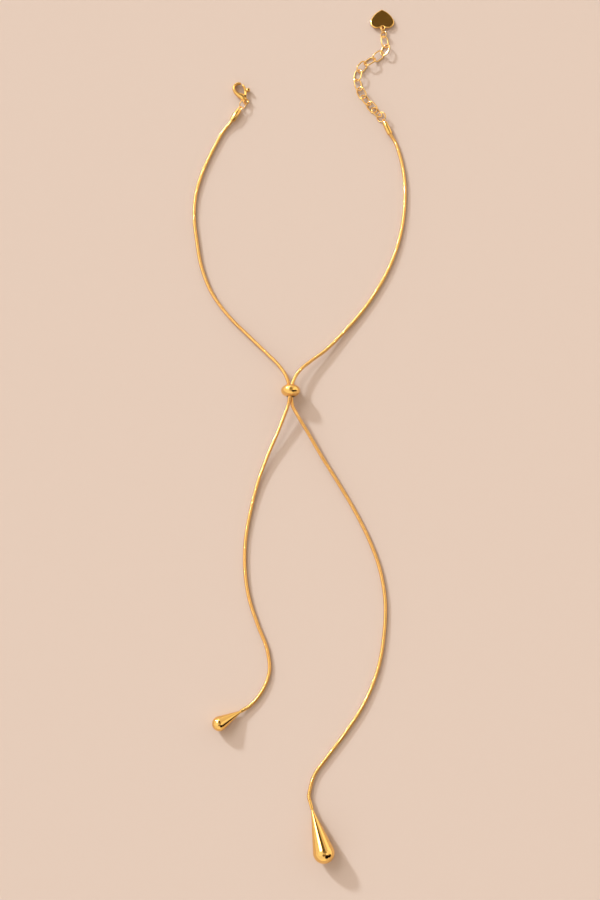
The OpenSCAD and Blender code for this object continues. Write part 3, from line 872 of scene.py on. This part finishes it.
def clasp_body():
    """Hook and body with the lever's pocket and slot, the rivet's hole and the tail's eye."""
    body = loft("clasp_casting", hook_rows() + along_tail(BODY_TABLE))
    slot_t = LEVER_T + 2 * LEVER_GAP
    slot_r = BOSS_R + LEVER_GAP
    body = cut(body, placed(rod("pocket", slot_r, slot_t / 2, POCKET_SIDES), *PIVOT))
    x, y = PIVOT
    corners = []
    for z in (-slot_t / 2, slot_t / 2):
        corners += [(x - slot_r, y, z), (x + 2 * HOOK_R, y, z),
                    (x + 2 * HOOK_R, y + TAIL_REACH / 2, z), (x - slot_r, y + TAIL_REACH / 2, z)]
    sides = [(0, 1, 2, 3), (4, 5, 6, 7), (0, 1, 5, 4), (1, 2, 6, 5), (2, 3, 7, 6), (3, 0, 4, 7)]
    body = cut(body, new_object("slot", mesh_of("slot", corners, sides, smooth=False)))
    body = cut(body, placed(rod("bore", RIVET_D / 2 + RIVET_GAP, CLASP_T), *PIVOT))
    eye = placed(torus("tail eye", TAIL_EYE_D, TAIL_EYE_WIRE), TAIL_X, -TAIL_REACH)
    return cut(body, eye, "UNION")


def clasp_lever():
    """Lever with the drum that it turns on, the thumb tab on its neck, and the rivet's hole."""
    lever = loft("clasp_spring_lever", along_tail(LEVER_TABLE))
    boss = placed(drum("boss", BOSS_R, LEVER_T, BOSS_EDGE), *PIVOT)
    lever = cut(lever, boss, "UNION")
    arm = Vector(TAB_AT) - Vector(TAB_ROOT)
    towards = Matrix.Rotation(math.atan2(arm.y, arm.x), 4, "Z")
    lay = towards @ Matrix.Rotation(math.pi / 2, 4, "Y")
    neck = lathe("neck", [(TAB_NECK_R, 0), (TAB_NECK_R, arm.length)], TAB_NECK_SIDES)
    lever = cut(lever, placed(neck, *TAB_ROOT, turn=lay), "UNION")
    tab = placed(drum("tab", TAB_D / 2, TAB_HEIGHT, TAB_EDGE), *TAB_AT)
    lever = cut(lever, tab, "UNION")
    return cut(lever, placed(rod("pin", RIVET_D / 2 + LEVER_GAP, LEVER_T), *PIVOT))


class NECKLACE_OT_clasp(bpy.types.Operator):
    """Rounds and polishes the clasp's body, lever and rivet"""
    bl_idname = "necklace.clasp"
    bl_label = "Clasp"

    def execute(self, context):
        turn = Matrix.Rotation(CLASP_TURN, 4, "Z")
        parts = (
            (move(clasp_body(), turn), "necklace", "clasp_body"),
            (move(clasp_lever(), turn), "lever", "clasp_lever"),
            (lathe("clasp_pin", RIVET_PROFILE, SMALL_SIDES), "necklace", "clasp_rivet"),
        )
        for piece, rides_on, node in parts:
            crisp(piece)
            settle(piece, node)
            show(piece, rides_on, [node], "Polished gold plate")
        return {"FINISHED"}


# Heart tag, drawn as in the part's source, with a softly rounded rim, in millimetres

HEART_W = 10.7
HEART_H = 9.3
HEART_T = 0.8
# Radii of a side and of a lobe as shares of the width
HEART_SIDE = 0.85
HEART_LOBE = 0.27
HEART_EYE_R = 1.3
HEART_HOLE_R = 0.75
HEART_HOLE_Y = 0.1
# How much higher the eyelet lies than the heart's point
HEART_RAISE = 0.8
# Steps along half of the eyelet, a lobe and a side of the outline, and round the hole
EYE_STEPS = 16
LOBE_STEPS = 44
SIDE_STEPS = 20
HOLE_STEPS = 64
HEART_TURN = math.radians(1)
# Rim from the underside to the top: how far in from the outline, and the height
HEART_RIM = [
    (0.14, 0), (0.04, 0.05), (0, 0.15), (0, HEART_T - 0.32), (0.05, HEART_T - 0.17),
    (0.17, HEART_T - 0.06), (0.4, HEART_T),
]


def arc(centre, radius, start, end, steps):
    """Points on a circle from one angle to another, both ends included."""
    points = []
    for i in range(steps + 1):
        turn = start + (end - start) * i / steps
        points.append(centre + radius * Vector((math.cos(turn), math.sin(turn))))
    return points


def heart_outline():
    """Heart with the round eyelet in its notch, counterclockwise from the middle of the eyelet."""
    lobe_r = HEART_LOBE * HEART_W
    lobe = Vector((HEART_W / 2 - lobe_r, lobe_r))
    eye = Vector((0, HEART_HOLE_Y))
    to_lobe = lobe - eye
    near = (HEART_EYE_R ** 2 - lobe_r ** 2 + to_lobe.length_squared) / (2 * to_lobe.length)
    aside = math.sqrt(HEART_EYE_R ** 2 - near ** 2)
    meet = eye + near * to_lobe.normalized() - aside * to_lobe.normalized().orthogonal()
    point = Vector((0, HEART_H))
    radius = HEART_SIDE * HEART_W
    back = lobe - point
    bend = math.acos((radius ** 2 + back.length_squared - (radius - lobe_r) ** 2)
                     / (2 * radius * back.length))
    aim = math.atan2(back.y, back.x) - bend
    centre = point + radius * Vector((math.cos(aim), math.sin(aim)))
    out = lobe - centre
    side_start = math.atan2(out.y, out.x)
    from_eye = meet - eye
    from_lobe = meet - lobe
    half = arc(eye, HEART_EYE_R, -math.pi / 2, math.atan2(from_eye.y, from_eye.x), EYE_STEPS)
    lobe_start = math.atan2(from_lobe.y, from_lobe.x)
    half += arc(lobe, lobe_r, lobe_start, side_start, LOBE_STEPS)[1:]
    half += arc(centre, radius, side_start, aim + math.pi, SIDE_STEPS)[1:]
    return half + [Vector((-p.x, p.y)) for p in half[-2:0:-1]]


def inset(outline, by):
    """Counterclockwise outline moved inwards. At a sharp corner it moves at most twice as far."""
    moved = []
    for i, at in enumerate(outline):
        back = (at - outline[i - 1]).normalized().orthogonal()
        ahead = (outline[(i + 1) % len(outline)] - at).normalized().orthogonal()
        side = (back + ahead).normalized()
        moved.append(at + side * by / max(0.5, side.dot(ahead)))
    return moved


def rimmed_plate(name, outline, centre, hole_r, rim):
    """Plate with a round hole. Rim rows give inset and height round the outside and the hole."""
    hole = arc(centre, hole_r, 0, 2 * math.pi, HOLE_STEPS)[:-1]
    hole.reverse()
    points = []
    faces = []
    base = 0
    caps = []
    for shape in (outline, hole):
        for by, height in rim:
            points += [(p.x, p.y, height) for p in inset(shape, by)]
        count = len(shape)
        faces += [tuple(base + k for k in face) for face in ring_faces(len(rim), count)]
        caps.append((base, base + (len(rim) - 1) * count, count))
        base = len(points)
    strips = len(faces)
    for level in (0, 1):
        runs = [range(cap[level], cap[level] + cap[2]) for cap in caps]
        loops = [[Vector(points[k]) for k in run] for run in runs]
        order = [k for run in runs for k in run]
        faces += [tuple(order[k] for k in face) for face in tessellate_polygon(loops)]
    mesh = mesh_of(name, points, faces)
    edge_of = {edge.key: edge for edge in mesh.edges}
    seen = {}
    for face in mesh.polygons:
        for key in face.edge_keys:
            seen.setdefault(key, []).append(face.index >= strips)
    for key, sorts in seen.items():
        edge_of[key].use_edge_sharp = any(sorts) and not all(sorts)
    return new_object(name, mesh)


class NECKLACE_OT_heart(bpy.types.Operator):
    """Rounds the rim of the heart tag and polishes it"""
    bl_idname = "necklace.heart"
    bl_label = "Heart tag"

    def execute(self, context):
        centre = Vector((0, HEART_HOLE_Y))
        plate = rimmed_plate("heart_plate", heart_outline(), centre, HEART_HOLE_R, HEART_RIM)
        tilt = math.asin(HEART_RAISE / (HEART_H - HEART_HOLE_Y))
        move(plate, Matrix.Rotation(HEART_TURN, 4, "Z") @ Matrix.Rotation(-tilt, 4, "X"))
        settle(plate, "heart_tag")
        show(plate, "necklace", ["heart_tag"], "Flat polished gold")
        return {"FINISHED"}


# Stage, with lengths in millimetres unless it says metres

FLOOR_HALF = 2000
FLOOR_ROUGHNESS = 0.9
# The main light is a little bluer than the room
SUN_COLOUR = (0.83, 0.95, 1.0)
LENS_MM = 60
SENSOR_MM = 36
# Place of the camera in metres, its tilt from straight down, and the nearest it sees
CAMERA_AT = (0, -0.1378, 0.6258)
CAMERA_TILT = math.radians(11)
CLIP_START = 0.01
# Colour and strength of the room on its left and right, and where along X it goes over
ROOM_LEFT = ("#FFF5E8", 1.02)
ROOM_RIGHT = ("#FBEAD0", 0.88)
ROOM_CHANGE = (-0.35, 0.5)
# Soft patches of the room: direction from +X and height above the horizon, radius where the
# patch is full and where it ends, all in degrees, then its colour and strength
ROOM = [
    (70, 76, 8, 22, "#F2DDBC", 0.3),
    (20, 70, 4, 14, "#F2DDBC", 0.34),
    (-60, 64, 7, 15, "#F2DDBC", 0.3),
    (-95, 66, 8, 16, "#D9BC8C", 0.35),
    (95, 58, 9, 22, "#D9BC8C", 0.2),
    (190, 50, 10, 28, "#FFF4E2", 1.3),
    (36, 20, 9, 21, "#FFF1D8", 1.5),
    (6, 4, 16, 28, "#FFF1D8", 1.3),
    (-94, 14, 14, 26, "#FFF1D8", 1.15),
    (12, 42, 8, 18, "#FFF1D8", 1.2),
    (-50, 38, 17, 22, "#A67F4C", 0.02),
    (-26, 18, 12, 18, "#A67F4C", 0.03),
    (-14, 56, 6, 13, "#FFF1D8", 1.4),
    (132, 18, 8, 20, "#FFFAF0", 1.5),
    (104, 32, 6, 14, "#FFFCF6", 3.0),
    (138, 46, 8, 15, "#FFFCF6", 7.0),
]


def patch(tree, direction, look, inner, outer):
    """Socket that is 1 near a look direction and goes softly to 0, with both angles in degrees."""
    dot = add_node(tree, "ShaderNodeVectorMath", {0: direction, 1: look}, operation="DOT_PRODUCT")
    return add_node(tree, "ShaderNodeMapRange", {
        "Value": dot.outputs["Value"], "From Min": math.cos(math.radians(outer)),
        "From Max": math.cos(math.radians(inner)), "To Min": 0.0, "To Max": 1.0},
        interpolation_type="SMOOTHSTEP").outputs[0]


def lit(colour, strength):
    """Linear colour of a hex value at a strength."""
    return [c * strength for c in linear(colour)[:3]] + [1.0]


def studio_sky():
    """Pale studio room that the polished metal reflects: bright windows at the upper left, pale
    walls, dim patches of ceiling, and one dark corner towards the lower right."""
    world = bpy.data.worlds.new("Pale studio")
    bpy.context.scene.world = world
    world.use_nodes = True
    tree = world.node_tree
    tree.nodes.clear()
    place = add_node(tree, "ShaderNodeTexCoord").outputs["Generated"]
    parts = add_node(tree, "ShaderNodeSeparateXYZ", {"Vector": place})
    side = add_node(tree, "ShaderNodeMapRange", {
        "Value": parts.outputs["X"], "From Min": ROOM_CHANGE[0], "From Max": ROOM_CHANGE[1],
        "To Min": 0.0, "To Max": 1.0}, interpolation_type="SMOOTHSTEP").outputs[0]
    room = blend_colour(tree, side, lit(*ROOM_LEFT), lit(*ROOM_RIGHT))
    for azimuth, height, inner, outer, colour, strength in ROOM:
        share = patch(tree, place, axis_of(azimuth, height), inner, outer)
        room = blend_colour(tree, share, room, lit(colour, strength))
    back = add_node(tree, "ShaderNodeBackground", {
        "Color": room, "Strength": bpy.context.scene.necklace_studio.room})
    add_node(tree, "ShaderNodeOutputWorld", {"Surface": back.outputs["Background"]})


def matt_board(colour):
    """Pale card, matt from its paper surface. It is the floor and no part of the necklace."""
    material = bpy.data.materials.new("Pale matt board")
    material.use_nodes = True
    tree = material.node_tree
    tree.nodes.clear()
    shade = add_node(tree, "ShaderNodeBsdfPrincipled", {
        "Base Color": [*colour, 1.0], "Roughness": FLOOR_ROUGHNESS})
    add_node(tree, "ShaderNodeOutputMaterial", {"Surface": shade.outputs["BSDF"]})
    return material


class NECKLACE_OT_stage(bpy.types.Operator):
    """Sets up the pale floor, the soft light and the camera"""
    bl_idname = "necklace.stage"
    bl_label = "Stage"

    def execute(self, context):
        studio = context.scene.necklace_studio
        half = FLOOR_HALF
        points = [(-half, -half, 0), (half, -half, 0), (half, half, 0), (-half, half, 0)]
        floor = new_object("floor", mesh_of("floor", points, [(0, 1, 2, 3)], smooth=False))
        if floor.data.polygons[0].normal.z < 0:
            floor.data.flip_normals()
        floor.data.materials.append(matt_board(studio.floor))
        studio_sky()
        sun = bpy.data.lights.new("main light", "SUN")
        sun.energy = studio.sun
        sun.angle = studio.light_size
        sun.color = SUN_COLOUR
        lamp = new_object("main light", sun)
        towards = direction_of(studio.light_azimuth, studio.light_height)
        lamp.rotation_euler = (-towards).to_track_quat("-Z", "Y").to_euler()
        eye = bpy.data.cameras.new("camera")
        eye.lens = LENS_MM
        eye.sensor_width = SENSOR_MM
        eye.clip_start = CLIP_START
        camera = new_object("camera", eye)
        camera.location = CAMERA_AT
        camera.rotation_euler = (CAMERA_TILT, 0, 0)
        context.scene.camera = camera
        context.scene.view_settings.view_transform = "Standard"
        return {"FINISHED"}


class NECKLACE_PT_panel(bpy.types.Panel):
    """Lists the necklace's pieces and sizes"""
    bl_idname = "NECKLACE_PT_panel"
    bl_label = "Lariat necklace"
    bl_space_type = "VIEW_3D"
    bl_region_type = "UI"
    bl_category = "Necklace"

    def draw(self, context):
        scene = context.scene
        for group in (scene.necklace_chain, scene.necklace_colours, scene.necklace_studio):
            box = self.layout.box()
            for name in group.__annotations__:
                box.prop(group, name)
        for operator in OPERATORS:
            self.layout.operator(operator.bl_idname)


GROUPS = (ChainSizes, FinishColours, StudioSettings)
OPERATORS = (
    NECKLACE_OT_chains, NECKLACE_OT_bead_and_drops, NECKLACE_OT_rings, NECKLACE_OT_clasp,
    NECKLACE_OT_heart, NECKLACE_OT_stage,
)


def register():
    for item in GROUPS + OPERATORS + (NECKLACE_PT_panel,):
        bpy.utils.register_class(item)
    bpy.types.Scene.necklace_chain = PointerProperty(type=ChainSizes)
    bpy.types.Scene.necklace_colours = PointerProperty(type=FinishColours)
    bpy.types.Scene.necklace_studio = PointerProperty(type=StudioSettings)


def unregister():
    del bpy.types.Scene.necklace_studio
    del bpy.types.Scene.necklace_colours
    del bpy.types.Scene.necklace_chain
    for item in reversed(GROUPS + OPERATORS + (NECKLACE_PT_panel,)):
        bpy.utils.unregister_class(item)


def main():
    """Makes the necklace and its stage."""
    register()
    bpy.ops.necklace.chains()
    bpy.ops.necklace.bead_and_drops()
    bpy.ops.necklace.rings()
    bpy.ops.necklace.clasp()
    bpy.ops.necklace.heart()
    bpy.ops.necklace.stage()


if __name__ == "__main__":
    main()
